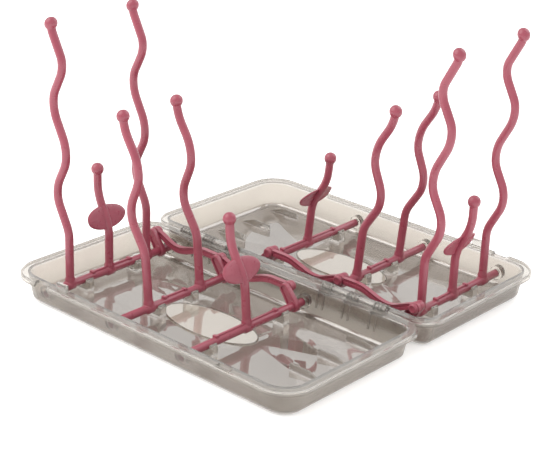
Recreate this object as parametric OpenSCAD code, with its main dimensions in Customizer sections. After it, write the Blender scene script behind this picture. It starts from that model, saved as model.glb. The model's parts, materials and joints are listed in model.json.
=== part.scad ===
// Folding bottle drying rack: two hinged clear trays, each with three rods of folding pegs.
// X runs along the hinge, Y from the front tray to the rear tray, Z up. Open, pegs up.

/* [Trays] */
// Length of a tray along the hinge
tray_l = 298; // [284:1:360]
// Depth of one tray, from the hinge line to its outer edge
tray_w = 158; // [150:1:190]
// Height of a tray up to the top of its rim
tray_h = 25; // [24:0.5:32]
// Thickness of walls and floor
wall_t = 2.2; // [1.6:0.1:3]
// Overhang of the rim beyond the wall
rim_w = 6; // [5:0.5:9]
// Depth of the rim's turned-down lip
lip_h = 4.4; // [3:0.2:7]
// Slope of the walls: how far they come in from rim to floor
draft = 4; // [1:0.5:6]
// Radius where the walls meet the floor, outside
foot_r = 6; // [4:0.5:7]
// Corner radius on the outer side
outer_r = 26; // [22:1:40]
// Corner radius beside the hinge
inner_r = 19; // [19:1:26]
// Gap between the two rims when the rack is closed
shut_gap = 0.4; // [0.2:0.1:1]
// Height of the ribs on the floor at the empty end
fin_h = 6; // [3:0.5:8]

/* [Hinge] */
// Radius of the knuckles
knuckle_r = 3.4; // [3:0.1:4.5]
// Diameter of a hinge pin
pin_d = 3; // [2:0.1:3.4]
// Distance from the middle of the rack to the middle of a knuckle group
hinge_x = 78; // [70:1:100]
// Pitch of equal knuckles in a group
knuckle_pitch = 26; // [22:1:30]
// Length of the narrow knuckles
knuckle_l = 11; // [8:0.5:13]
// Gap between neighbouring knuckles
knuckle_gap = 0.3; // [0.2:0.05:0.6]

/* [Latch] */
// Distance of tab and slot from the middle of the rack
latch_x = 86; // [70:1:100]
// Width of the latch tab
tab_w = 11; // [8:0.5:14]
// Height of the tab above the rim
tab_h = 6.5; // [5:0.5:8]
// Thickness of the tab
tab_t = 2.2; // [1.6:0.1:2.6]
// Width of the thumb notch in the rim
notch_w = 14; // [10:1:20]

/* [Rods] */
// Diameter of a rod
rod_d = 6.6; // [5:0.1:7.2]
// Height of the rods above the surface the rack stands on
rod_z = 12.7; // [12:0.1:14.5]
// Spacing of the rods
rod_pitch = 75; // [72:0.5:80]
// Radial clearance of a rod in its bearings
run_gap = 0.08; // [0.03:0.01:0.1]
// Outer diameter of the ring bosses that hold the rod ends
boss_d = 12; // [10.5:0.5:13]
// How far a ring boss stands out from the wall
boss_l = 4.5; // [3:0.5:6]

/* [Pegs] */
// Diameter of a peg
peg_d = 6.9; // [5:0.1:7.2]
// Diameter of the ball on a peg's tip
ball_d = 10.4; // [8:0.1:10.6]
// Height of a tall peg's ball above its rod
tall_h = 210; // [204:1:215]
// Height of a medium peg's ball above its rod
medium_h = 151; // [148:1:156]
// Height of a short peg's ball above its rod
short_h = 84; // [80:1:95]
// Steepest slope of a peg's wave
wave_a = 28; // [24:1:32]
// Half length of the oval leaf on a short peg
leaf_l = 20; // [16:0.5:22]
// Half height of the leaf
leaf_h = 10; // [7:0.5:11]
// Thickness of the leaf
leaf_t = 2.2; // [1.6:0.1:3]

/* [Folding] */
// Turn of the first rod from up to folded
fold_first = 93; // [92:0.1:94]
// Backward lean of the second and third rods when the pegs are up
lean = 5.3; // [4.5:0.1:6]
// Crank radius on the first rod
crank_r = 15.9; // [14.5:0.1:16.5]
// Angle of the first crank behind upright when the pegs are up
crank_a = 36.6; // [34:0.1:40]
// Diameter of a crank pin
crank_pin_d = 4.4; // [3.5:0.1:5]
// Radial clearance of the link on the first crank's pin
free_gap = 0.45; // [0.4:0.05:0.6]

/* [Shown part] */
// Part to draw

/* [Hidden] */
$fn = 48;
tray_c = [0.62, 0.60, 0.57, 0.55];
rose_c = [0.70, 0.33, 0.40];
steel_c = [0.75, 0.75, 0.76];

// Tray section: r is the distance in from the rim's edge
hinge_z = tray_h + shut_gap / 2;
side_gap = shut_gap / 2;
latch_in = 3.8;
slot_gap = 1;
notch_off = 10;
nub_h = 2;
nub_w = 0.7;
flange_t = wall_t + 0.2;
wall_z = tray_h - flange_t;
draft_a = atan(draft / wall_z);
foot_out = rim_w + draft;
foot_in = foot_out + wall_t / cos(draft_a);
in_r = foot_r - wall_t;
slab_in = inner_r - 1;
lip_t = 1.6;
step_h = 1.7;
step_w = 1.2;
sunk = 0.2;
fin_y = [26, 60, 92, 130];
fin_x = [93, 112, 128];
fin_t = 1.6;
rib_gap = 3;
rib_t = 1.2;
rib_l = 12;
pad_a = 46;
pad_b = 21;
pad_h = 0.6;
function wall_in(z) = foot_in - z * tan(draft_a);

// Rods: the first carries the tall pegs, the third is nearest the empty end
function rod_x(i) = (i - 2.5) * rod_pitch;
function rod_lean(i) = i == 1 ? 0 : lean;
rod_slack = 0.35;
bore_back = 0.7;
rod_out = tray_w - wall_in(rod_z) - bore_back - rod_slack;
rod_in = side_gap + wall_in(rod_z) + bore_back + rod_slack;
hub_l = 10;
hub_d = rod_d + 2.2;
neck_h = 5.4;
neck_d = peg_d + 0.8;
ridge_t = 2.2;
stud_l = 3;
spigot_d = 4.6;
spigot_z = 1.6;
fit_gap = 0.03;

// Places along the rods, measured from the hinge line
tall_y = [124, 40.5];
medium_y = [109, 53];
short_1_y = 82;
short_3_y = 78.5;
ridge_y = [[60, 100], [70, 92], [46, 112]];
saddle_w = 7;
saddle_d = 11;

// Peg waves: heights above the rod and offsets away from the folding side.
// The crests stand where the peg crosses the next rods when folded.
touching = (rod_d + peg_d) / 2;
crest_1 = touching + rod_pitch * sin(fold_first - 90) + 1.95;
crest_2 = touching + 2 * rod_pitch * sin(fold_first - 90) + 0.55;
tall_path = [[39, 0], [rod_pitch, crest_1], [108, 1.8], [2 * rod_pitch - 1, crest_2],
             [180, 4.4], [tall_h, crest_2 + 1]];
medium_path = [[39, 0], [rod_pitch, crest_1], [108, 1.8], [medium_h, crest_1 + 2]];
short_path = [[29, 0], [rod_pitch - 2, crest_1 + 0.4], [short_h, crest_1 + 0.4]];
leaf_z = 46;
leaf_lean = [30, 14];
leaf_back = 2.4;

// Cranks: the other rods turn further, so their cranks are a little shorter
fold_other = fold_first + lean;
crank_mid = fold_first / 2 - crank_a;
crank_r2 = crank_r * sin(fold_first / 2) / sin(fold_other / 2);
crank_a2 = fold_other / 2 - crank_mid;
crank_y = 22.2;
crank_t = 4.4;
arm_w = 8.4;
eye_y = 18;
eye_t = 3.9;
head_t = 2.6;
head_d = 8.4;
eye_d = 9.4;
bar_h = 6;
dip = 7.5;
dip_x = 26;
rise_x = 58;
function crank_len(i) = i == 1 ? crank_r : crank_r2;
function crank_ang(i) = i == 1 ? crank_a : crank_a2;
function pin_x(i) = rod_x(i) - crank_len(i) * sin(crank_ang(i));
function pin_z(i) = rod_z + crank_len(i) * cos(crank_ang(i));

// Outline helpers
function arc_points(c, r, a0, a1, n) =
    [for (i = [0:n]) let (a = a0 + (a1 - a0) * i / n) [c[0] + r * cos(a), c[1] + r * sin(a)]];
function oval_points(a, b, from, to, n) =
    [for (i = [0:n]) let (t = from + (to - from) * i / n) [a * cos(t), b * sin(t)]];

// Section of wall, rim and rounded foot, x inwards from the rim's edge. Its points keep to
// hundredths of a millimetre, so that the straight runs meet the corners exactly.
function tray_section() =
    let (half = tan((90 + draft_a) / 2),
         floor_in = wall_in(wall_t),
         out_c = [foot_out + foot_r / half, foot_r],
         in_c = [floor_in + in_r / half, wall_t + in_r],
         step_z = tray_h - step_h,
         outline = concat(
             [[slab_in, wall_t], [slab_in, 0]],
             arc_points(out_c, foot_r, 270, 180 + draft_a, 5),
             [[rim_w, wall_z], [lip_t, wall_z], [lip_t, tray_h - lip_h], [0, tray_h - lip_h],
              [0, step_z], [step_w, step_z], [step_w, tray_h], [wall_in(tray_h), tray_h]],
             arc_points(in_c, in_r, 180 + draft_a, 270, 4)))
    [for (p = outline) [round(p[0] * 100) / 100, round(p[1] * 100) / 100]];

module run(l) rotate([90, 0, 90]) linear_extrude(l) polygon(tray_section());

module corner(r) rotate_extrude(angle = 90, $fn = 64)
    polygon([for (p = tray_section()) [r - p[0], p[1]]]);

module floor_slab() {
    flat_l = tray_l - 2 * slab_in;
    linear_extrude(wall_t) {
        translate([-flat_l / 2, -tray_w + outer_r])
            square([flat_l, tray_w - outer_r - side_gap - inner_r]);
        translate([-tray_l / 2 + outer_r, -tray_w + slab_in])
            square([tray_l - 2 * outer_r, outer_r - slab_in]);
        translate([-tray_l / 2 + inner_r, -side_gap - inner_r])
            square([tray_l - 2 * inner_r, inner_r - slab_in]);
        for (s = [-1, 1]) {
            translate([s * (tray_l / 2 - outer_r), -tray_w + outer_r]) circle(outer_r - slab_in);
            translate([s * (tray_l / 2 - inner_r), -side_gap - inner_r]) circle(inner_r - slab_in);
        }
    }
}

module shell() {
    side_l = tray_w - side_gap - outer_r - inner_r;
    translate([-tray_l / 2 + outer_r, -tray_w, 0]) run(tray_l - 2 * outer_r);
    translate([-tray_l / 2 + inner_r, -side_gap, 0]) mirror([0, 1, 0]) run(tray_l - 2 * inner_r);
    for (s = [0, 1]) mirror([s, 0, 0]) {
        translate([-tray_l / 2, -tray_w + outer_r + side_l, 0])
            rotate([0, 0, -90]) run(side_l);
        translate([tray_l / 2 - outer_r, -tray_w + outer_r, 0]) rotate([0, 0, -90]) corner(outer_r);
        translate([tray_l / 2 - inner_r, -side_gap - inner_r, 0]) corner(inner_r);
    }
    floor_slab();
}

// A row of barrels on the hinge line, drawn over a group's middle
module barrels(offsets, l) for (o = offsets) translate([o - l / 2, 0, hinge_z]) {
    rotate([0, 90, 0]) cylinder(r = knuckle_r, h = l);
    translate([0, -rim_w - 1, -knuckle_r]) cube([l, rim_w + 1, knuckle_r - shut_gap / 2]);
}

module knuckle_room(offsets, l) for (o = offsets)
    translate([o - l / 2 - knuckle_gap, -knuckle_r - 0.5, hinge_z - knuckle_r - 0.5])
        cube([l + 2 * knuckle_gap, 2 * knuckle_r + 1, 2 * knuckle_r + 1]);

// Pairs of ribs below the knuckles, on the slope of the wall beside the hinge
module wall_ribs(offsets) {
    top = wall_z + 0.5;
    low = wall_z - rib_l;
    for (o = offsets, s = [-rib_gap, rib_gap])
        translate([o + s - rib_t / 2, -side_gap, 0]) rotate([90, 0, 90]) linear_extrude(rib_t)
            polygon([[-wall_in(low) - 1.3, low], [-wall_in(low) + 1, low],
                     [-wall_in(top) + 1, top], [-wall_in(top) - 1.3, top]]);
}

module ring_boss(i, drilled) translate([rod_x(i), 0, rod_z]) for (s = [0, 1]) {
    face = s == 0 ? -tray_w + wall_in(rod_z) : -side_gap - wall_in(rod_z);
    turn = s == 0 ? -90 : 90;
    translate([0, face, 0]) rotate([turn, 0, 0])
        if (drilled)
            translate([0, 0, bore_back]) cylinder(d = rod_d + 2 * run_gap, h = boss_l);
        else
            translate([0, 0, -1]) cylinder(d = boss_d, h = boss_l + 1);
}

// Open cradles at both ends of a rod's ridge
module saddles(i) for (y = [ridge_y[i - 1][0] - saddle_w, ridge_y[i - 1][1] + saddle_w])
    translate([rod_x(i), -y, 0]) difference() {
        union() {
            translate([-saddle_d / 2, -saddle_w / 2, wall_t / 2])
                cube([saddle_d, saddle_w, rod_z - wall_t / 2 - 2]);
            translate([0, saddle_w / 2, rod_z - 2]) rotate([90, 0, 0])
                cylinder(d = saddle_d, h = saddle_w);
        }
        translate([0, saddle_w, rod_z]) rotate([90, 0, 0])
            cylinder(d = rod_d + 2 * run_gap, h = 2 * saddle_w);
        translate([-rod_d / 2 - run_gap, -saddle_w, rod_z])
            cube([rod_d + 2 * run_gap, 2 * saddle_w, saddle_d]);
        translate([-saddle_d, -saddle_w, rod_z + 1]) cube([2 * saddle_d, 2 * saddle_w, saddle_d]);
    }

// Low ribs on the floor at the empty end, steep towards the rods and sloping to the end wall
module fins() for (y = fin_y) translate([0, -y + fin_t / 2, 0]) rotate([90, 0, 0])
    linear_extrude(fin_t)
        polygon([[fin_x[0], wall_t - sunk], [fin_x[0] + 0.6, wall_t + fin_h],
                 [fin_x[1], wall_t + fin_h], [fin_x[2], wall_t - sunk]]);

// One tray, the front one, before its pin holes; the rear one is the same, turned half way round
module solid_tray() {
    three = [-knuckle_pitch, 0, knuckle_pitch];
    two = [-knuckle_pitch / 2, knuckle_pitch / 2];
    wide_l = knuckle_pitch - knuckle_l - 2 * knuckle_gap;
    latch_y = -tray_w + latch_in;
    difference() {
        union() {
            shell();
            translate([hinge_x, 0, 0]) wall_ribs(three);
            translate([-hinge_x, 0, 0]) wall_ribs(two);
            fins();
            translate([0, -tray_w / 2, wall_t / 2]) linear_extrude(wall_t / 2 + pad_h)
                polygon(oval_points(pad_a, pad_b, 0, 352.5, 47));
            for (i = [1:3]) {
                ring_boss(i, false);
                saddles(i);
            }
            translate([-latch_x - tab_w / 2, latch_y - tab_t / 2, tray_h - 1])
                cube([tab_w, tab_t, tab_h + 1]);
            translate([-latch_x - tab_w / 2, latch_y - tab_t / 2, tray_h + tab_h - nub_h])
                rotate([90, 0, 90]) linear_extrude(tab_w)
                    polygon([[0, 0], [-nub_w, nub_w], [0, nub_h]]);
        }
        for (i = [1:3]) ring_boss(i, true);
        translate([hinge_x, 0, 0]) knuckle_room(two, wide_l);
        translate([-hinge_x, 0, 0]) knuckle_room(three, knuckle_l);
        translate([latch_x - tab_w / 2 - slot_gap, latch_y - (rim_w - 2) / 2, wall_z - 1])
            cube([tab_w + 2 * slot_gap, rim_w - 2, flange_t + 2]);
        translate([-latch_x - tab_w / 2 - notch_off - notch_w, -tray_w - 1, tray_h - lip_h - 1])
            cube([notch_w, rim_w, lip_h + 2]);
    }
    translate([hinge_x, 0, 0]) barrels(three, knuckle_l);
    translate([-hinge_x, 0, 0]) barrels(two, wide_l);
}

module tray() difference() {
    solid_tray();
    for (s = [-1, 1]) translate([s * hinge_x, 0, hinge_z]) rotate([0, 90, 0])
        cylinder(d = pin_d + 2 * run_gap, h = 2 * knuckle_pitch + knuckle_l + 1, center = true);
}

module hinge_pin(s) color(steel_c) translate([s * hinge_x, 0, hinge_z]) rotate([0, 90, 0])
    cylinder(d = pin_d, h = 2 * knuckle_pitch + knuckle_l, center = true);

// Places its children on rod i, leaning as the rod stands when the pegs are up
module on_rod(i) translate([rod_x(i), 0, rod_z]) rotate([0, -rod_lean(i), 0]) children();

function peg_places(i) = i == 1 ? [tall_y[0], short_1_y, tall_y[1]] : i == 2 ? medium_y : [short_3_y];

module axle(i) color(rose_c) on_rod(i) difference() {
    union() {
        translate([0, -rod_in, 0]) rotate([90, 0, 0]) cylinder(d = rod_d, h = rod_out - rod_in);
        for (y = peg_places(i)) translate([0, -y, 0]) {
            rotate([90, 0, 0]) cylinder(d = hub_d, h = hub_l, center = true);
            cylinder(d = neck_d, h = neck_h);
        }
        translate([-ridge_t / 2, -ridge_y[i - 1][1], 0])
            cube([ridge_t, ridge_y[i - 1][1] - ridge_y[i - 1][0], rod_d / 2 + 0.9]);
        for (y = ridge_y[i - 1])
            translate([-ridge_t, -y - stud_l / 2, 0]) cube([2 * ridge_t, stud_l, rod_d / 2 + 1.4]);
    }
    for (y = peg_places(i)) translate([0, -y, spigot_z - 0.2])
        cylinder(d = spigot_d + 2 * fit_gap, h = neck_h);
}

// Crank: an arm on the rod with a headed pin towards the hinge
module crank(i) color(rose_c) translate([rod_x(i), 0, rod_z]) rotate([0, -crank_ang(i), 0]) {
    l = crank_len(i);
    translate([0, -crank_y, 0]) rotate([90, 0, 0]) difference() {
        linear_extrude(crank_t) {
            circle(d = hub_d + 1.4);
            polygon([[-arm_w / 2, 0], [arm_w / 2, 0], [arm_w / 2 - 0.8, l], [0.8 - arm_w / 2, l]]);
            translate([0, l]) circle(d = head_d);
        }
        translate([0, 0, -1]) cylinder(d = rod_d + 2 * fit_gap, h = crank_t + 2);
    }
    translate([0, -crank_y - 0.5, l]) rotate([-90, 0, 0])
        cylinder(d = crank_pin_d, h = crank_y - eye_y + 0.8);
    translate([0, -eye_y + 0.2, l]) rotate([-90, 0, 0]) cylinder(d = head_d, h = head_t);
}

// Height of the link bar between two pins, x from the first of them
function bar_z(x) = x < dip_x ? -dip * (1 - cos(180 * x / dip_x)) / 2
    : x < rise_x ? -dip * (1 + cos(180 * (x - dip_x) / (rise_x - dip_x))) / 2 : 0;

module link_span(i) {
    dx = pin_x(i + 1) - pin_x(i);
    dz = pin_z(i + 1) - pin_z(i);
    n = 18;
    low = [for (k = [0:n]) let (x = dx * k / n) [x, bar_z(x) + dz * k / n - bar_h / 2]];
    high = [for (k = [n:-1:0]) let (x = dx * k / n) [x, bar_z(x) + dz * k / n + bar_h / 2]];
    translate([pin_x(i), pin_z(i)]) polygon(concat(low, high));
}

module link() color(rose_c) translate([0, -eye_y, 0]) rotate([90, 0, 0]) difference() {
    linear_extrude(eye_t) {
        link_span(1);
        link_span(2);
        for (i = [1:3]) translate([pin_x(i), pin_z(i)]) circle(d = eye_d);
    }
    for (i = [1:3]) translate([pin_x(i), pin_z(i), -1])
        cylinder(d = crank_pin_d + 2 * (i == 1 ? free_gap : run_gap), h = eye_t + 2);
}

// Stations [x, z, tilt, radius] of an S from node a to node b, made of two arcs of slope wave_a
function s_stations(a, b, n) =
    let (shift = b[1] - a[1], rise = b[0] - a[0], way = shift > 0 ? 1 : -1,
         r = (rise * sin(wave_a) - abs(shift) * cos(wave_a)) / (2 * (1 - cos(wave_a))))
    concat(
        [for (k = [1:n]) let (t = wave_a * k / n)
            [-a[1] - way * r * (1 - cos(t)), a[0] + r * sin(t), way * t, peg_d / 2]],
        [for (k = [n:-1:0]) let (t = wave_a * k / n)
            [-b[1] + way * r * (1 - cos(t)), b[0] - r * sin(t), way * t, peg_d / 2]]);

// A whole peg: spigot, straight foot, waves and ball
function peg_stations(path) =
    let (tip = path[len(path) - 1], foot_z = neck_h + fit_gap, inside = acos(peg_d / ball_d))
    concat(
        [[0, spigot_z, 0, spigot_d / 2], [0, foot_z, 0, spigot_d / 2], [0, foot_z, 0, peg_d / 2],
         [0, path[0][0], 0, peg_d / 2]],
        [for (k = [1:len(path) - 1]) each abs(path[k][1] - path[k - 1][1]) < 0.01
            ? [[-path[k][1], path[k][0] - ball_d / 2, 0, peg_d / 2]]
            : [for (q = s_stations(path[k - 1], path[k], 4))
                if (k < len(path) - 1 || q[1] < tip[0] - ball_d / 2) q]],
        [for (a = [-inside:(inside + 75) / 6:75.1])
            [-tip[1], tip[0] + ball_d / 2 * sin(a), 0, ball_d / 2 * cos(a)]]);

// A round tube of m sides along stations in the XZ plane
module tube(stations, m) {
    last = len(stations) - 1;
    points = [for (p = stations, j = [0:m - 1]) let (u = p[3] * cos(360 * j / m))
        [p[0] + u * cos(p[2]), p[3] * sin(360 * j / m), p[1] + u * sin(p[2])]];
    walls = [for (k = [0:last - 1], j = [0:m - 1]) let (q = (j + 1) % m)
        each [[k * m + j, (k + 1) * m + j, k * m + q],
              [k * m + q, (k + 1) * m + j, (k + 1) * m + q]]];
    ends = [[for (j = [0:m - 1]) j], [for (j = [m - 1:-1:0]) last * m + j]];
    polyhedron(points, concat(walls, ends));
}

module peg(i, y, path) color(rose_c) on_rod(i) translate([0, -y, 0]) tube(peg_stations(path), 16);

// An oval plate with a crease along its length, its halves leaning by leaf_lean
module leaf() {
    up = 1.3 * leaf_h;
    high = up * [-sin(leaf_lean[0]), cos(leaf_lean[0])];
    low = up * [sin(leaf_lean[1]), -cos(leaf_lean[1])];
    side = [leaf_t / 2, 0];
    intersection() {
        translate([0, leaf_l + 1, 0]) rotate([90, 0, 0]) linear_extrude(2 * leaf_l + 2)
            polygon([high - side, -side, low - side, low + side, side, high + side]);
        translate([-leaf_h, 0, 0]) rotate([90, 0, 90]) linear_extrude(2 * leaf_h)
            polygon(oval_points(leaf_l, leaf_h * cos(leaf_lean[1]), 0, 345, 23));
    }
}

module short_peg(i, y) color(rose_c) {
    peg(i, y, short_path);
    on_rod(i) translate([-leaf_back, -y, leaf_z]) leaf();
}

module rear() rotate([0, 0, 180]) children();

color(tray_c) tray();  // tray_front
color(tray_c) rear() tray();  // tray_rear
hinge_pin(-1);  // hinge_pin_left
hinge_pin(1);  // hinge_pin_right
axle(1);  // axle_front_1
axle(2);  // axle_front_2
axle(3);  // axle_front_3
rear() axle(1);  // axle_rear_1
rear() axle(2);  // axle_rear_2
rear() axle(3);  // axle_rear_3
crank(1);  // crank_front_1
crank(2);  // crank_front_2
crank(3);  // crank_front_3
rear() crank(1);  // crank_rear_1
rear() crank(2);  // crank_rear_2
rear() crank(3);  // crank_rear_3
link();  // link_front
rear() link();  // link_rear
peg(1, tall_y[0], tall_path);  // peg_front_tall_outer
peg(1, tall_y[1], tall_path);  // peg_front_tall_inner
short_peg(1, short_1_y);  // peg_front_short_1
peg(2, medium_y[0], medium_path);  // peg_front_medium_outer
peg(2, medium_y[1], medium_path);  // peg_front_medium_inner
short_peg(3, short_3_y);  // peg_front_short_3
rear() peg(1, tall_y[0], tall_path);  // peg_rear_tall_outer
rear() peg(1, tall_y[1], tall_path);  // peg_rear_tall_inner
rear() short_peg(1, short_1_y);  // peg_rear_short_1
rear() peg(2, medium_y[0], medium_path);  // peg_rear_medium_outer
rear() peg(2, medium_y[1], medium_path);  // peg_rear_medium_inner
rear() short_peg(3, short_3_y);  // peg_rear_short_3
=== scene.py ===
import json
import math

import bmesh
import bpy
from mathutils import Matrix, Vector

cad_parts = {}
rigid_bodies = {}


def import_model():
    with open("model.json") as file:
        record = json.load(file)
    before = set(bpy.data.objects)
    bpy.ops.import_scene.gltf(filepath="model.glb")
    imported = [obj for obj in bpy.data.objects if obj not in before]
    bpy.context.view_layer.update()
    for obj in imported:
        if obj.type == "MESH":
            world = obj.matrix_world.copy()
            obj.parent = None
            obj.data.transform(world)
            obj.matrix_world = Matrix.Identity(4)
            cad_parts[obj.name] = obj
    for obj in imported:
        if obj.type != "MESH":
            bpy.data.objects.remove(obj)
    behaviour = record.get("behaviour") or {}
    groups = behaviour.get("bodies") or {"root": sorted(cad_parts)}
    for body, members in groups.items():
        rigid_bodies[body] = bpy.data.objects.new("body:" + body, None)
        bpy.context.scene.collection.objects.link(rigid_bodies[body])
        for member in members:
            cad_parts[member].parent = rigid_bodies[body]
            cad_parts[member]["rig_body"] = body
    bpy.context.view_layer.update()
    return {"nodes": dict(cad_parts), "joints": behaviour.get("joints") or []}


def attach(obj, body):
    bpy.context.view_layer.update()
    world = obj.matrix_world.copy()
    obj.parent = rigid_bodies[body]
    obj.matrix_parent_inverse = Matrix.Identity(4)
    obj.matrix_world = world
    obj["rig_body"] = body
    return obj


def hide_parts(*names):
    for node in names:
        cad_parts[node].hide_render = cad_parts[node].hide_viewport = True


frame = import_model()
joints = {joint["name"]: joint for joint in frame["joints"]}
nodes = frame["nodes"]
print("frame loaded:", len(nodes), "nodes")

view = {
    "place": (0.7298, -0.8430, 0.5223),
    "turn": (67.15, -1.86, 42.25),  # degrees about X, Y and Z
    "lens": 102.4,  # millimetres, as is the sensor
    "sensor": 36,
    "nearest": 0.01,
}

studio = {
    "sky": (1.0, 0.995, 0.985, 1),
    "skyStrength": 0.95,
    "paper": (1.0, 1.0, 1.0),
    "paperHalf": 6,
    "paperGlow": 0.36,
    "paperRoughness": (0.75, 0.9),
    "paperGrain": 40,
    "aim": (0, 0, 0.05),
}

lamps = {
    "keyLight": {"place": (-0.9, -1.0, 1.5), "size": 2.2, "watts": 24, "tint": (1.0, 0.98, 0.95)},
    "backLight": {"place": (0.5, 1.4, 1.3), "size": 1.6, "watts": 8, "tint": (0.97, 0.98, 1.0)},
}


def addCamera():
    camera = bpy.data.objects.new("camera", bpy.data.cameras.new("camera"))
    camera.data.lens = view["lens"]
    camera.data.sensor_width = view["sensor"]
    camera.data.clip_start = view["nearest"]
    camera.location = view["place"]
    camera.rotation_euler = [math.radians(angle) for angle in view["turn"]]
    bpy.context.scene.collection.objects.link(camera)
    bpy.context.scene.camera = camera


def addLamp(name):
    lamp = lamps[name]
    light = bpy.data.objects.new(name, bpy.data.lights.new(name, "AREA"))
    light.data.shape = "DISK"
    light.data.size = lamp["size"]
    light.data.energy = lamp["watts"]
    light.data.color = lamp["tint"]
    light.location = lamp["place"]
    toAim = Vector(studio["aim"]) - Vector(lamp["place"])
    light.rotation_euler = toAim.to_track_quat("-Z", "Y").to_euler()
    bpy.context.scene.collection.objects.link(light)


def addStudio():
    world = bpy.data.worlds.new("studio")
    world.use_nodes = True
    sky = world.node_tree.nodes["Background"]
    sky.inputs["Color"].default_value = studio["sky"]
    sky.inputs["Strength"].default_value = studio["skyStrength"]
    bpy.context.scene.world = world
    for name in lamps:
        addLamp(name)
    bpy.context.scene.view_settings.view_transform = "Standard"
    bm = bmesh.new()
    bmesh.ops.create_grid(bm, x_segments=4, y_segments=4, size=studio["paperHalf"])
    mesh = bpy.data.meshes.new("floor")
    bm.to_mesh(mesh)
    bm.free()
    floor = bpy.data.objects.new("floor", mesh)
    bpy.context.scene.collection.objects.link(floor)
    paper, shader = newMaterial("paleFloor", studio["paper"], 0.8)
    grain = noiseRange(paper, studio["paperGrain"], studio["paperRoughness"])
    paper.node_tree.links.new(grain, shader.inputs["Roughness"])
    shader.inputs["Emission Color"].default_value = (1, 1, 1, 1)
    shader.inputs["Emission Strength"].default_value = studio["paperGlow"]
    mesh.materials.append(paper)


def newMaterial(name, color, roughness):
    material = bpy.data.materials.new(name)
    material.use_nodes = True
    shader = material.node_tree.nodes["Principled BSDF"]
    shader.inputs["Base Color"].default_value = (*color, 1)
    shader.inputs["Roughness"].default_value = roughness
    return material, shader


def addNode(material, kind, **values):
    node = material.node_tree.nodes.new(kind)
    for key, value in values.items():
        if key in node.inputs:
            node.inputs[key].default_value = value
        else:
            setattr(node, key, value)
    return node


def objectNoise(material, scale, detail=3.0, stretch=(1, 1, 1)):
    link = material.node_tree.links.new
    place = addNode(material, "ShaderNodeTexCoord")
    mapping = addNode(material, "ShaderNodeMapping", Scale=stretch)
    noise = addNode(material, "ShaderNodeTexNoise", Scale=scale, Detail=detail)
    link(place.outputs["Object"], mapping.inputs["Vector"])
    link(mapping.outputs["Vector"], noise.inputs["Vector"])
    return noise.outputs["Fac"]


noiseSpan = (0.3, 0.7)  # the part of a noise's range that is used


def addRange(material, value, start, end, low=0.0, high=1.0, kind="LINEAR"):
    node = addNode(material, "ShaderNodeMapRange", interpolation_type=kind)
    node.inputs["From Min"].default_value = start
    node.inputs["From Max"].default_value = end
    node.inputs["To Min"].default_value = low
    node.inputs["To Max"].default_value = high
    material.node_tree.links.new(value, node.inputs["Value"])
    return node.outputs["Result"]


def noiseRange(material, scale, span):
    return addRange(material, objectNoise(material, scale), *noiseSpan, *span)


def addTwoTone(material, noise, low, high):
    ramp = addNode(material, "ShaderNodeValToRGB")
    for stop, position, color in zip(ramp.color_ramp.elements, noiseSpan, (low, high)):
        stop.position = position
        stop.color = (*color, 1)
    material.node_tree.links.new(noise, ramp.inputs["Fac"])
    return ramp.outputs["Color"]


def mixColors(material, share, first, second):
    mix = addNode(material, "ShaderNodeMix", data_type="RGBA")
    link = material.node_tree.links.new
    link(share, mix.inputs[0])
    for slot, color in ((6, first), (7, second)):  # the colour sockets A and B
        if isinstance(color, tuple):
            mix.inputs[slot].default_value = (*color, 1)
        else:
            link(color, mix.inputs[slot])
    return mix.outputs[2]


def addMath(material, operation, first, second):
    node = addNode(material, "ShaderNodeMath", operation=operation)
    for slot, value in enumerate((first, second)):
        if isinstance(value, (int, float)):
            node.inputs[slot].default_value = value
        else:
            material.node_tree.links.new(value, node.inputs[slot])
    return node.outputs["Value"]


def addBumps(material, shader, layers):
    link = material.node_tree.links.new
    last = None
    for scale, distance, strength in layers:
        bump = addNode(material, "ShaderNodeBump", Strength=strength, Distance=distance)
        link(objectNoise(material, scale), bump.inputs["Height"])
        if last:
            link(last.outputs["Normal"], bump.inputs["Normal"])
        last = bump
    link(last.outputs["Normal"], shader.inputs["Normal"])


rosePlastic = {
    "deep": (0.30, 0.050, 0.080),
    "light": (0.345, 0.067, 0.100),
    "rubbed": (0.44, 0.14, 0.185),  # along edges, where it is handled
    "rubbedFrom": (0.56, 0.68),  # how sharp an edge is where the wear starts and is full
    "rubbedShare": 0.5,
    "mottle": (55, 4),  # scale and detail
    "roughness": (0.26, 0.36),
    "roughnessScale": 260,
    "bumps": ((2400, 0.00002, 0.35), (300, 0.00006, 0.25)),  # scale, depth, strength
    "refraction": 1.5,
    "coat": 0.3,
    "coatRoughness": 0.18,
}


def makeRose():
    material, shader = newMaterial("rosePlastic", rosePlastic["deep"], 0.4)
    link = material.node_tree.links.new
    mottle = objectNoise(material, *rosePlastic["mottle"])
    tone = addTwoTone(material, mottle, rosePlastic["deep"], rosePlastic["light"])
    edge = addNode(material, "ShaderNodeNewGeometry").outputs["Pointiness"]
    wear = addRange(material, edge, *rosePlastic["rubbedFrom"], 0, rosePlastic["rubbedShare"])
    link(mixColors(material, wear, tone, rosePlastic["rubbed"]), shader.inputs["Base Color"])
    roughness = noiseRange(material, rosePlastic["roughnessScale"], rosePlastic["roughness"])
    link(roughness, shader.inputs["Roughness"])
    addBumps(material, shader, rosePlastic["bumps"])
    shader.inputs["IOR"].default_value = rosePlastic["refraction"]
    shader.inputs["Coat Weight"].default_value = rosePlastic["coat"]
    shader.inputs["Coat Roughness"].default_value = rosePlastic["coatRoughness"]
    return material


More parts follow.
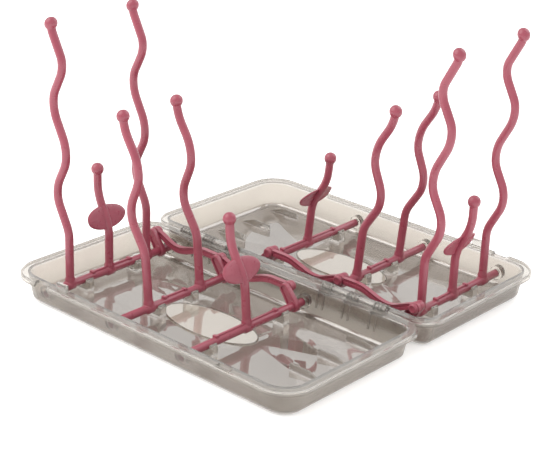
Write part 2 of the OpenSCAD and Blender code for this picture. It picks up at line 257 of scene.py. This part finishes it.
smokyPlastic = {
    "wall": ((0.53, 0.487, 0.438), (0.56, 0.517, 0.462)),
    # painted shade: the same smoky plastic coloured darker on the tray's floor, where it lies in shadow
    "floor": ((0.265, 0.222, 0.188), (0.31, 0.262, 0.223)),
    # painted highlight: the same plastic coloured lighter along the top lip
    "rim": ((0.66, 0.63, 0.59), (0.72, 0.695, 0.66)),
    # painted sheen: the raised oval's flat top coloured lighter, as if reflecting the bright surroundings
    "padPaintedSheen": (0.48, 0.418, 0.345),
    "padAway": 0.079,  # from the hinge line to the middle of the raised oval
    "padHalf": (0.046, 0.021),
    "floorHeights": (0.0030, 0.0045),  # where the floor's painted shade gives way to the wall's tone
    "rimHeights": (0.0212, 0.0224),
    "mottle": (22, 3),  # scale and detail
    "roughness": (0.02, 0.06),
    "roughnessScale": 120,
    "wallFrost": 0.2,
    "bumps": ((90, 0.00001, 0.04), (30, 0.00003, 0.04)),  # scale, depth, strength
    "refraction": 1.5,
    "clear": (0.94, 0.84),  # transmission below the rim and in it
    "floorGloss": 1.0,
    "coatRefraction": 2.4,
    "coatRoughness": 0.01,
}


# the raised oval on the tray's floor, where the painted sheen goes
def paintedSheenPadMask(material, parts):
    along = addMath(material, "DIVIDE", parts.outputs["X"], smokyPlastic["padHalf"][0])
    away = addMath(material, "ABSOLUTE", parts.outputs["Y"], 0)
    away = addMath(material, "SUBTRACT", away, smokyPlastic["padAway"])
    away = addMath(material, "DIVIDE", away, smokyPlastic["padHalf"][1])
    along = addMath(material, "MULTIPLY", along, along)
    away = addMath(material, "MULTIPLY", away, away)
    return addMath(material, "LESS_THAN", addMath(material, "ADD", along, away), 1)


def makeSmoky():
    material, shader = newMaterial("smokyPlastic", smokyPlastic["wall"][0], 0.03)
    link = material.node_tree.links.new
    mottle = objectNoise(material, *smokyPlastic["mottle"])
    wall = addTwoTone(material, mottle, *smokyPlastic["wall"])
    # the floor tone is painted shade on the same plastic
    floor = addTwoTone(material, mottle, *smokyPlastic["floor"])
    rim = addTwoTone(material, mottle, *smokyPlastic["rim"])
    place = addNode(material, "ShaderNodeTexCoord")
    parts = addNode(material, "ShaderNodeSeparateXYZ")
    link(place.outputs["Object"], parts.inputs["Vector"])
    height = parts.outputs["Z"]
    aboveFloor = addRange(material, height, *smokyPlastic["floorHeights"], kind="SMOOTHSTEP")
    inRim = addRange(material, height, *smokyPlastic["rimHeights"], kind="SMOOTHSTEP")
    # painted sheen inside the raised oval
    tone = mixColors(material, paintedSheenPadMask(material, parts), floor, smokyPlastic["padPaintedSheen"])
    tone = mixColors(material, aboveFloor, tone, wall)
    # painted highlight along the rim
    tone = mixColors(material, inRim, tone, rim)
    link(tone, shader.inputs["Base Color"])
    inWall = addMath(material, "SUBTRACT", aboveFloor, inRim)
    frosted = addMath(material, "MULTIPLY", inWall, smokyPlastic["wallFrost"])
    polish = noiseRange(material, smokyPlastic["roughnessScale"], smokyPlastic["roughness"])
    link(addMath(material, "ADD", polish, frosted), shader.inputs["Roughness"])
    addBumps(material, shader, smokyPlastic["bumps"])
    clear = addRange(material, inRim, 0, 1, *smokyPlastic["clear"])
    link(clear, shader.inputs["Transmission Weight"])
    gloss = addRange(material, aboveFloor, 0, 1, smokyPlastic["floorGloss"], 0)
    link(gloss, shader.inputs["Coat Weight"])
    shader.inputs["IOR"].default_value = smokyPlastic["refraction"]
    shader.inputs["Coat IOR"].default_value = smokyPlastic["coatRefraction"]
    shader.inputs["Coat Roughness"].default_value = smokyPlastic["coatRoughness"]
    return material


pinSteel = {
    "dark": (0.52, 0.52, 0.53),
    "light": (0.68, 0.68, 0.69),
    "grain": (400, 2, (0.05, 1, 1)),  # scale, detail, drawn out along the pin
    "roughness": (0.22, 0.38),
    "roughnessScale": 600,
}


def makeSteel():
    material, shader = newMaterial("pinSteel", pinSteel["light"], 0.3)
    link = material.node_tree.links.new
    grain = objectNoise(material, *pinSteel["grain"])
    link(addTwoTone(material, grain, pinSteel["dark"], pinSteel["light"]), shader.inputs["Base Color"])
    shader.inputs["Metallic"].default_value = 1
    roughness = noiseRange(material, pinSteel["roughnessScale"], pinSteel["roughness"])
    link(roughness, shader.inputs["Roughness"])
    return material


addCamera()
addStudio()
rose = makeRose()
smoky = makeSmoky()
steel = makeSteel()
print("camera, light and materials made")

halfTurn = Matrix.Rotation(math.pi, 4, "Z")  # from the front tray to the rear one

moulding = {
    "mergeWithin": 1e-6,
    "sharpFrom": math.radians(38),
    "bevelSegments": 2,
}


def keepPiece(bm, name, node, material, place, bevelWidth=0):
    bmesh.ops.remove_doubles(bm, verts=bm.verts, dist=moulding["mergeWithin"])
    bmesh.ops.recalc_face_normals(bm, faces=bm.faces)
    bmesh.ops.transform(bm, matrix=place, verts=bm.verts)
    mesh = bpy.data.meshes.new(name)
    bm.to_mesh(mesh)
    bm.free()
    mesh.materials.append(material)
    mesh.shade_smooth()
    mesh.set_sharp_from_angle(angle=moulding["sharpFrom"])
    piece = bpy.data.objects.new(name, mesh)
    bpy.context.scene.collection.objects.link(piece)
    if bevelWidth:
        bevel = piece.modifiers.new("softEdges", "BEVEL")
        bevel.width = bevelWidth
        bevel.segments = moulding["bevelSegments"]
        bevel.limit_method = "ANGLE"
        bevel.angle_limit = moulding["sharpFrom"]
        bevel.harden_normals = True
    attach(piece, nodes[node]["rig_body"])
    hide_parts(node)


def edgesOf(geometry):
    return [item for item in geometry if isinstance(item, bmesh.types.BMEdge)]


def vertsOf(geometry):
    return [item for item in geometry if isinstance(item, bmesh.types.BMVert)]


def startTube(bm, radius, height, sides):
    ring = bmesh.ops.create_circle(bm, cap_ends=True, radius=radius, segments=sides)["verts"]
    bmesh.ops.translate(bm, verts=ring, vec=(0, 0, height))
    return list({edge for vert in ring for edge in vert.link_edges})


def stepTube(bm, rim, move, grow=1.0, center=(0, 0, 0)):
    grown = bmesh.ops.extrude_edge_only(bm, edges=rim)["geom"]
    bmesh.ops.translate(bm, verts=vertsOf(grown), vec=move)
    middle = Matrix.Translation(-(Vector(center) + Vector(move)))
    bmesh.ops.scale(bm, verts=vertsOf(grown), vec=(grow, grow, grow), space=middle)
    return [edge for edge in edgesOf(grown) if edge.is_boundary]


def bendTube(bm, rim, center, angle, steps):
    swept = bmesh.ops.spin(
        bm, geom=rim, cent=center, axis=(0, 1, 0), angle=angle, steps=steps, use_merge=False)
    return [edge for edge in edgesOf(swept["geom_last"]) if edge.is_boundary]


def closeTube(bm, rim):
    verts = list({vert for edge in rim for vert in edge.verts})
    middle = sum((vert.co for vert in verts), Vector()) / len(verts)
    bmesh.ops.pointmerge(bm, verts=verts, merge_co=middle)


def lathe(bm, profile, sides, place=Matrix()):
    others = set(bm.verts)
    verts = [bm.verts.new((radius, along, 0)) for radius, along in profile]
    edges = [bm.edges.new(pair) for pair in zip(verts, verts[1:])]
    bmesh.ops.spin(bm, geom=verts + edges, cent=(0, 0, 0), axis=(0, 1, 0),
                   angle=2 * math.pi, steps=sides, use_merge=True)
    turned = [vert for vert in bm.verts if vert not in others]
    bmesh.ops.remove_doubles(bm, verts=turned, dist=1e-7)
    turned = [vert for vert in turned if vert.is_valid]
    bmesh.ops.transform(bm, matrix=place, verts=turned)


def addBlock(bm, low, high, cut=0.0):
    size = Vector(high) - Vector(low)
    place = Matrix.Translation((Vector(high) + Vector(low)) / 2) @ Matrix.Diagonal((*size, 1))
    made = bmesh.ops.create_cube(bm, size=1, matrix=place)["verts"]
    if cut:
        edges = list({edge for vert in made for edge in vert.link_edges})
        bmesh.ops.bevel(bm, geom=edges, offset=cut, affect="EDGES", segments=2, profile=0.5, material=-1)


rods = {
    "radius": 0.0033,
    "lean": {1: 0.0, 2: 5.3, 3: 5.3},  # degrees, with the pegs up
    "ends": (0.0103, 0.1473),  # from the hinge line
    "endEdge": 0.0006,
    "pegs": {1: (0.0405, 0.082, 0.124), 2: (0.053, 0.109), 3: (0.0785,)},
    "hubHalf": 0.0036,
    "shoulder": ((0, 0.0012), (0.0004, 0.0004), (0.0011, -0.0006)),  # out from the rod, past the hub
    "ridge": {1: (0.060, 0.100), 2: (0.070, 0.092), 3: (0.046, 0.112)},
    "ridgeSize": (0.0011, 0.0009, 0.0003),  # half width, height above the rod, rounding
    "stopSize": (0.0022, 0.0014, 0.0004),  # the same, where a ridge ends
    "stopHalf": 0.0015,
    "sides": 28,
}

pegs = {
    "radius": 0.00345,
    "foot": ((0.0005, 0.0041), (0.0053, 0.0041), (0.0062, 0.003657), (0.0072, 0.00345)),  # height, radius
    "ballRadius": 0.0052,
    "ballSpan": (-0.84, math.radians(84)),
    "ballRings": 9,
    "slope": math.radians(28),
    "bendSteps": 8,
    "tipCut": 0.8,  # share of the ball's radius by which the last bend stops short
    "sides": 24,
    "tall": (  # height and offset towards -X wherever the peg runs upright
        (0.039, 0), (0.075, 0.0126), (0.108, 0.0018),
        (0.149, 0.01515), (0.180, 0.0044), (0.210, 0.01615)),
    "medium": ((0.039, 0), (0.075, 0.0126), (0.108, 0.0018), (0.151, 0.0146)),
    "short": ((0.029, 0), (0.073, 0.0130), (0.084, 0.0130)),
}

pegPlaces = (  # kind, label, rod, place along the rod
    ("tall", "inner", 1, 0), ("tall", "outer", 1, 2),
    ("medium", "inner", 2, 0), ("medium", "outer", 2, 1),
    ("short", "1", 1, 1), ("short", "3", 3, 0))

rodPlace = {i: Vector(joints["front_pegs_%d" % i]["pos_m"]) for i in (1, 2, 3)}


def rodFrame(i, tray, turned=True):
    lean = math.radians(-rods["lean"][i]) if turned else 0
    place = Matrix.Translation(rodPlace[i]) @ Matrix.Rotation(lean, 4, "Y")
    return halfTurn @ place if tray == "rear" else place


def tubeAlong(bm, rim, path):
    slope = pegs["slope"]
    steps = pegs["bendSteps"]
    for (z0, off0), (z1, off1) in zip(path, path[1:]):
        rise = z1 - z0
        shift = off1 - off0
        if shift == 0:
            rim = stepTube(bm, rim, (0, 0, rise - pegs["ballRadius"]))
            continue
        way = math.copysign(1, shift)
        bend = (rise * math.sin(slope) - abs(shift) * math.cos(slope)) / (2 * (1 - math.cos(slope)))
        run = (rise - 2 * bend * math.sin(slope)) / math.cos(slope)
        rim = bendTube(bm, rim, (-off0 - way * bend, 0, z0), -way * slope, steps)
        rim = stepTube(bm, rim, (-way * run * math.sin(slope), 0, run * math.cos(slope)))
        reach = slope
        if (z1, off1) == path[-1]:
            reach -= pegs["tipCut"] * pegs["ballRadius"] / bend
        rim = bendTube(bm, rim, (-off1 + way * bend, 0, z1), way * reach, steps)
    return rim


def addBall(bm, rim, tip):
    verts = list({vert for edge in rim for vert in edge.verts})
    middle = sum((vert.co for vert in verts), Vector()) / len(verts)
    axis = (tip - middle).normalized()
    radius = pegs["radius"]
    first, last = pegs["ballSpan"]
    for k in range(pegs["ballRings"]):
        angle = first + (last - first) * k / (pegs["ballRings"] - 1)
        wanted = pegs["ballRadius"] * math.cos(angle)
        center = tip + axis * pegs["ballRadius"] * math.sin(angle)
        rim = stepTube(bm, rim, center - middle, wanted / radius, middle)
        middle = center
        radius = wanted
    closeTube(bm, rim)


def buildPeg(kind, node, i, along, tray):
    bm = bmesh.new()
    height, radius = pegs["foot"][0]
    rim = startTube(bm, radius, height, pegs["sides"])
    for nextHeight, nextRadius in pegs["foot"][1:]:
        rim = stepTube(bm, rim, (0, 0, nextHeight - height), nextRadius / radius, (0, 0, height))
        height = nextHeight
        radius = nextRadius
    path = pegs[kind]
    rim = stepTube(bm, rim, (0, 0, path[0][0] - height))
    rim = tubeAlong(bm, rim, path)
    addBall(bm, rim, Vector((-path[-1][1], 0, path[-1][0])))
    if kind == "short":
        addLeaf(bm)
    place = rodFrame(i, tray) @ Matrix.Translation((0, -along, 0))
    keepPiece(bm, node + "_moulded", node, rose, place)


leaf = {
    "halfLength": 0.020,
    "halfHeight": 0.0098,
    "halfThickness": 0.00105,
    "height": 0.046,
    "back": 0.0024,
    "lean": (30, 14),  # degrees, upper and lower half
    "segments": 64,
    "rings": (  # share of the oval, share of half the thickness
        (0.5, -1), (0.86, -1), (0.94, -0.9), (0.985, -0.5), (1, 0),
        (0.985, 0.5), (0.94, 0.9), (0.86, 1), (0.5, 1)),
}


def addLeaf(bm):
    plate = bmesh.new()
    upright = Matrix.Rotation(math.pi / 2, 4, "Y")
    rows = []
    for share, bulge in leaf["rings"]:
        oval = Matrix.Diagonal((share * leaf["halfHeight"], share * leaf["halfLength"], 1, 1))
        place = upright @ Matrix.Translation((0, 0, bulge * leaf["halfThickness"])) @ oval
        row = bmesh.ops.create_circle(plate, segments=leaf["segments"], radius=1, matrix=place)["verts"]
        rows.append(row)
    loops = [list({edge for vert in row for edge in vert.link_edges}) for row in rows]
    for loop, after in zip(loops, loops[1:]):
        bmesh.ops.bridge_loops(plate, edges=loop + after)
    for row, loop in ((rows[0], loops[0]), (rows[-1], loops[-1])):
        bmesh.ops.contextual_create(plate, geom=loop)
        for k in range(1, leaf["segments"] // 2):  # strips across the fold
            bmesh.ops.connect_vert_pair(plate, verts=[row[k], row[-k]])
    upper, lower = [math.radians(angle) for angle in leaf["lean"]]
    for vert in plate.verts:
        up = vert.co.z
        lean = upper if up > 0 else lower
        vert.co.x -= up * math.sin(lean)
        vert.co.z = up * math.cos(lean)
    bmesh.ops.recalc_face_normals(plate, faces=plate.faces)
    bmesh.ops.translate(plate, verts=plate.verts, vec=(-leaf["back"], 0, leaf["height"]))
    copy = bpy.data.meshes.new("leafPlate")
    plate.to_mesh(copy)
    plate.free()
    bm.from_mesh(copy)
    bpy.data.meshes.remove(copy)


def addRidge(bm, low, high, size):
    half, above, rounding = size
    addBlock(bm, (-half, -high, 0), (half, -low, rods["radius"] + above), rounding)


def buildRod(i, tray):
    bm = bmesh.new()
    near, far = rods["ends"]
    edge = rods["endEdge"]
    radius = rods["radius"]
    profile = [(0, -far), (radius - edge, -far), (radius, -far + edge)]
    for along in sorted(rods["pegs"][i], reverse=True):
        shoulder = [(radius + out, rods["hubHalf"] + past) for out, past in rods["shoulder"]]
        profile += [(reach, -along - past) for reach, past in shoulder]
        profile += [(reach, -along + past) for reach, past in reversed(shoulder)]
    profile += [(radius, -near - edge), (radius - edge, -near), (0, -near)]
    lathe(bm, profile, rods["sides"])
    addRidge(bm, *rods["ridge"][i], rods["ridgeSize"])
    for along in rods["ridge"][i]:
        addRidge(bm, along - rods["stopHalf"], along + rods["stopHalf"], rods["stopSize"])
    name = "axle_%s_%d" % (tray, i)
    keepPiece(bm, name + "_moulded", name, rose, rodFrame(i, tray))


cranks = {
    "length": {1: 0.0159, 2: 0.015247, 3: 0.015247},
    "angle": {1: 36.6, 2: 39.25, 3: 39.25},  # degrees from upright, towards -X
    "near": 0.0222,  # the face towards the hinge
    "thickness": 0.0044,
    "hubRadius": 0.0051,
    "endRadius": 0.0042,
    "sides": 40,
    "edge": 0.0005,
    "panel": ((0.0011, 0), (0.0003, -0.0011)),  # inset and depth of the sunk panel
    "boss": (0.0047, 0.0004, 0.0002),  # radius, edge, height above the arm
    "pinRadius": 0.0022,
    "pinRoot": 0.003,
    "headFace": 0.0152,
    "head": (  # in from the head's rim, back from its face
        (0.0003, 0.0026), (0, 0.0022), (0, 0.0010), (0.0005, 0.0003), (0.0014, 0),
        (0.0022, 0.0004), (0.0042, 0.0006)),
    "pinSides": 32,
}


def addArm(bm, length):
    ring = bmesh.ops.create_circle(
        bm, cap_ends=True, radius=cranks["hubRadius"], segments=cranks["sides"])["verts"]
    shrink = cranks["endRadius"] / cranks["hubRadius"]
    for vert in ring:
        if vert.co.y > 1e-6:  # the half of the circle that goes round the pin
            vert.co = (vert.co.x * shrink, vert.co.y * shrink + length, 0)
    body = bmesh.ops.extrude_face_region(bm, geom=bm.faces[:])["geom"]
    bmesh.ops.translate(bm, verts=vertsOf(body), vec=(0, 0, cranks["thickness"]))
    bmesh.ops.recalc_face_normals(bm, faces=bm.faces)
    flats = [face for face in bm.faces if len(face.verts) > 4]
    rims = list({edge for face in flats for edge in face.edges})
    bmesh.ops.bevel(
        bm, geom=rims, offset=cranks["edge"], affect="EDGES", segments=2, profile=0.5, material=-1)
    flats = [face for face in bm.faces if len(face.verts) > 8]
    for face in flats:
        for inset, depth in cranks["panel"]:
            bmesh.ops.inset_region(bm, faces=[face], thickness=inset, depth=depth)
    upright = Matrix.Translation((0, -cranks["near"], 0)) @ Matrix.Rotation(math.pi / 2, 4, "X")
    bmesh.ops.transform(bm, matrix=upright, verts=bm.verts)


def buildCrank(i, tray):
    bm = bmesh.new()
    length = cranks["length"][i]
    addArm(bm, length)
    near = -cranks["near"]
    far = near - cranks["thickness"]
    boss, edge, proud = cranks["boss"]
    lathe(bm, [(0, far - proud), (boss - edge, far - proud), (boss, far + proud),
               (boss, near - proud), (boss - edge, near + proud), (0, near + proud)], cranks["pinSides"])
    root = near - cranks["pinRoot"]
    face = -cranks["headFace"]
    pin = [(0, root), (cranks["pinRadius"], root), (cranks["pinRadius"], face - cranks["head"][0][1])]
    head = [(cranks["endRadius"] - inward, face - back) for inward, back in cranks["head"]]
    lathe(bm, pin + head, cranks["pinSides"], Matrix.Translation((0, 0, length)))
    lean = Matrix.Rotation(math.radians(-cranks["angle"][i]), 4, "Y")
    name = "crank_%s_%d" % (tray, i)
    keepPiece(bm, name + "_moulded", name, rose, rodFrame(i, tray, False) @ lean)


links = {
    "near": 0.018,
    "thickness": 0.0039,
    "side": (  # in from the face, up from the middle, round the groove
        (0, 0.003), (0.0004, 0.0029), (0.0006, 0.0024), (0.0006, 0.0014), (0.0010, 0.0011),
        (0.0010, 0.0002), (0, -0.0001), (0, -0.0023), (0.0005, -0.0029)),
    "eyeRadius": 0.0047,
    "eyeEdge": 0.0005,
    "eyeFlat": 0.0004,
    "eyeSides": 36,
    "play": (0.00045, 0.0001, 0.0001),  # of each pin in its eye
    "dip": 0.0075,
    "dipAt": 0.026,
    "levelAt": 0.058,
    "steps": 26,
}


def pinPlace(i):
    angle = math.radians(cranks["angle"][i])
    return rodPlace[i] + cranks["length"][i] * Vector((-math.sin(angle), 0, math.cos(angle)))


def barHeight(x):
    if x < links["dipAt"]:
        return -links["dip"] * (1 - math.cos(math.pi * x / links["dipAt"])) / 2
    if x < links["levelAt"]:
        share = (x - links["dipAt"]) / (links["levelAt"] - links["dipAt"])
        return -links["dip"] * (1 + math.cos(math.pi * share)) / 2
    return 0


def addBar(bm, start, end):
    section = [(links["thickness"] / 2 - inward, up) for inward, up in links["side"]]
    section += [(-across, up) for across, up in reversed(section)]
    verts = [bm.verts.new((start.x, across, start.z + up)) for across, up in section]
    rim = list(bm.faces.new(verts).edges)
    reach = end.x - start.x
    last = 0
    for k in range(1, links["steps"] + 1):
        share = k / links["steps"]
        height = barHeight(reach * share) + (end.z - start.z) * share
        grown = bmesh.ops.extrude_edge_only(bm, edges=rim)["geom"]
        bmesh.ops.translate(bm, verts=vertsOf(grown), vec=(reach / links["steps"], 0, height - last))
        rim = [edge for edge in edgesOf(grown) if edge.is_boundary]
        last = height
    bmesh.ops.contextual_create(bm, geom=rim)


def addEye(bm, pin, play):
    hole = cranks["pinRadius"] + play
    flat = hole + links["eyeFlat"]
    radius = links["eyeRadius"]
    edge = links["eyeEdge"]
    near = -links["near"]
    far = near - links["thickness"]
    lathe(bm, [(hole, far), (flat, far), (radius - edge, far), (radius, far + edge),
               (radius, near - edge), (radius - edge, near), (flat, near), (hole, near),
               (hole, far)], links["eyeSides"], Matrix.Translation((pin.x, 0, pin.z)))


def buildLink(tray):
    bm = bmesh.new()
    pins = [pinPlace(i) for i in (1, 2, 3)]
    for start, end in zip(pins, pins[1:]):
        addBar(bm, start, end)
    middle = links["near"] + links["thickness"] / 2
    bmesh.ops.translate(bm, verts=bm.verts, vec=(0, -middle, 0))
    for pin, play in zip(pins, links["play"]):
        addEye(bm, pin, play)
    place = halfTurn if tray == "rear" else Matrix()
    keepPiece(bm, "link_%s_moulded" % tray, "link_" + tray, rose, place)


def buildTrayWorks(tray):
    for i in (1, 2, 3):
        buildRod(i, tray)
        buildCrank(i, tray)
    buildLink(tray)
    for kind, label, i, number in pegPlaces:
        buildPeg(kind, "peg_%s_%s_%s" % (tray, kind, label), i, rods["pegs"][i][number], tray)
    print(tray, "rods, pegs, cranks and link made")


trays = {
    "softEdge": 0.00035,
    "flatWithin": math.radians(0.4),
    "hingeHeight": 0.0252,
    "hingeMiddle": 0.078,
    "knucklePitch": 0.026,
    "collarRadius": 0.0043,
    "collarDepth": 0.0012,
    "collarHalf": 0.0007,
    "collarEdge": 0.0003,
    "collarSides": 28,
    "collarsAt": (-0.0046, -0.0016, 0.0016, 0.0046),  # along each narrow knuckle
    "padMiddle": (0, -smokyPlastic["padAway"], 0.0028),
    "padHalf": smokyPlastic["padHalf"],
    "beadRadius": 0.0006,
    "beadSteps": 120,
    "beadSides": 8,
}


def addCollars(bm):
    outer = trays["collarRadius"]
    inner = outer - trays["collarDepth"]
    edge = trays["collarEdge"]
    half = trays["collarHalf"]
    profile = [(inner, -half), (outer - edge, -half), (outer, -half + edge), (outer, half - edge),
               (outer - edge, half), (inner, half), (inner, -half)]
    alongX = Matrix.Rotation(math.pi / 2, 4, "Z")
    for k in (-1, 0, 1):
        for along in trays["collarsAt"]:
            x = trays["hingeMiddle"] + k * trays["knucklePitch"] + along
            place = Matrix.Translation((x, 0, trays["hingeHeight"])) @ alongX
            lathe(bm, profile, trays["collarSides"], place)


def padPlace(k):
    turn = 2 * math.pi * k / trays["beadSteps"]
    wide, deep = trays["padHalf"]
    middle = Vector(trays["padMiddle"]) + Vector((wide * math.cos(turn), deep * math.sin(turn), 0))
    out = math.atan2(math.sin(turn) / deep, math.cos(turn) / wide)
    return Matrix.Translation(middle) @ Matrix.Rotation(out, 4, "Z")


def addPadBead(bm):
    section = padPlace(0) @ Matrix.Rotation(math.pi / 2, 4, "X")
    ring = bmesh.ops.create_circle(
        bm, segments=trays["beadSides"], radius=trays["beadRadius"], matrix=section)["verts"]
    rim = list({edge for vert in ring for edge in vert.link_edges})
    for k in range(trays["beadSteps"]):
        grown = bmesh.ops.extrude_edge_only(bm, edges=rim)["geom"]
        step = padPlace(k + 1) @ padPlace(k).inverted()
        bmesh.ops.transform(bm, matrix=step, verts=vertsOf(grown))
        rim = [edge for edge in edgesOf(grown) if edge.is_boundary]


def buildTray(tray):
    node = "tray_" + tray
    bm = bmesh.new()
    bm.from_mesh(nodes[node].data)
    bmesh.ops.remove_doubles(bm, verts=bm.verts, dist=moulding["mergeWithin"])
    bmesh.ops.dissolve_limit(
        bm, angle_limit=trays["flatWithin"], verts=bm.verts, edges=bm.edges)
    keepPiece(bm, node + "_moulded", node, smoky, Matrix(), trays["softEdge"])
    details = bmesh.new()
    addCollars(details)
    addPadBead(details)
    place = halfTurn if tray == "rear" else Matrix()
    keepPiece(details, node + "_details", node, smoky, place)


for tray in ("front", "rear"):
    buildTray(tray)
    buildTrayWorks(tray)
for pin in ("hinge_pin_left", "hinge_pin_right"):
    nodes[pin].data.materials.clear()
    nodes[pin].data.materials.append(steel)
print("trays and hinge pins finished")
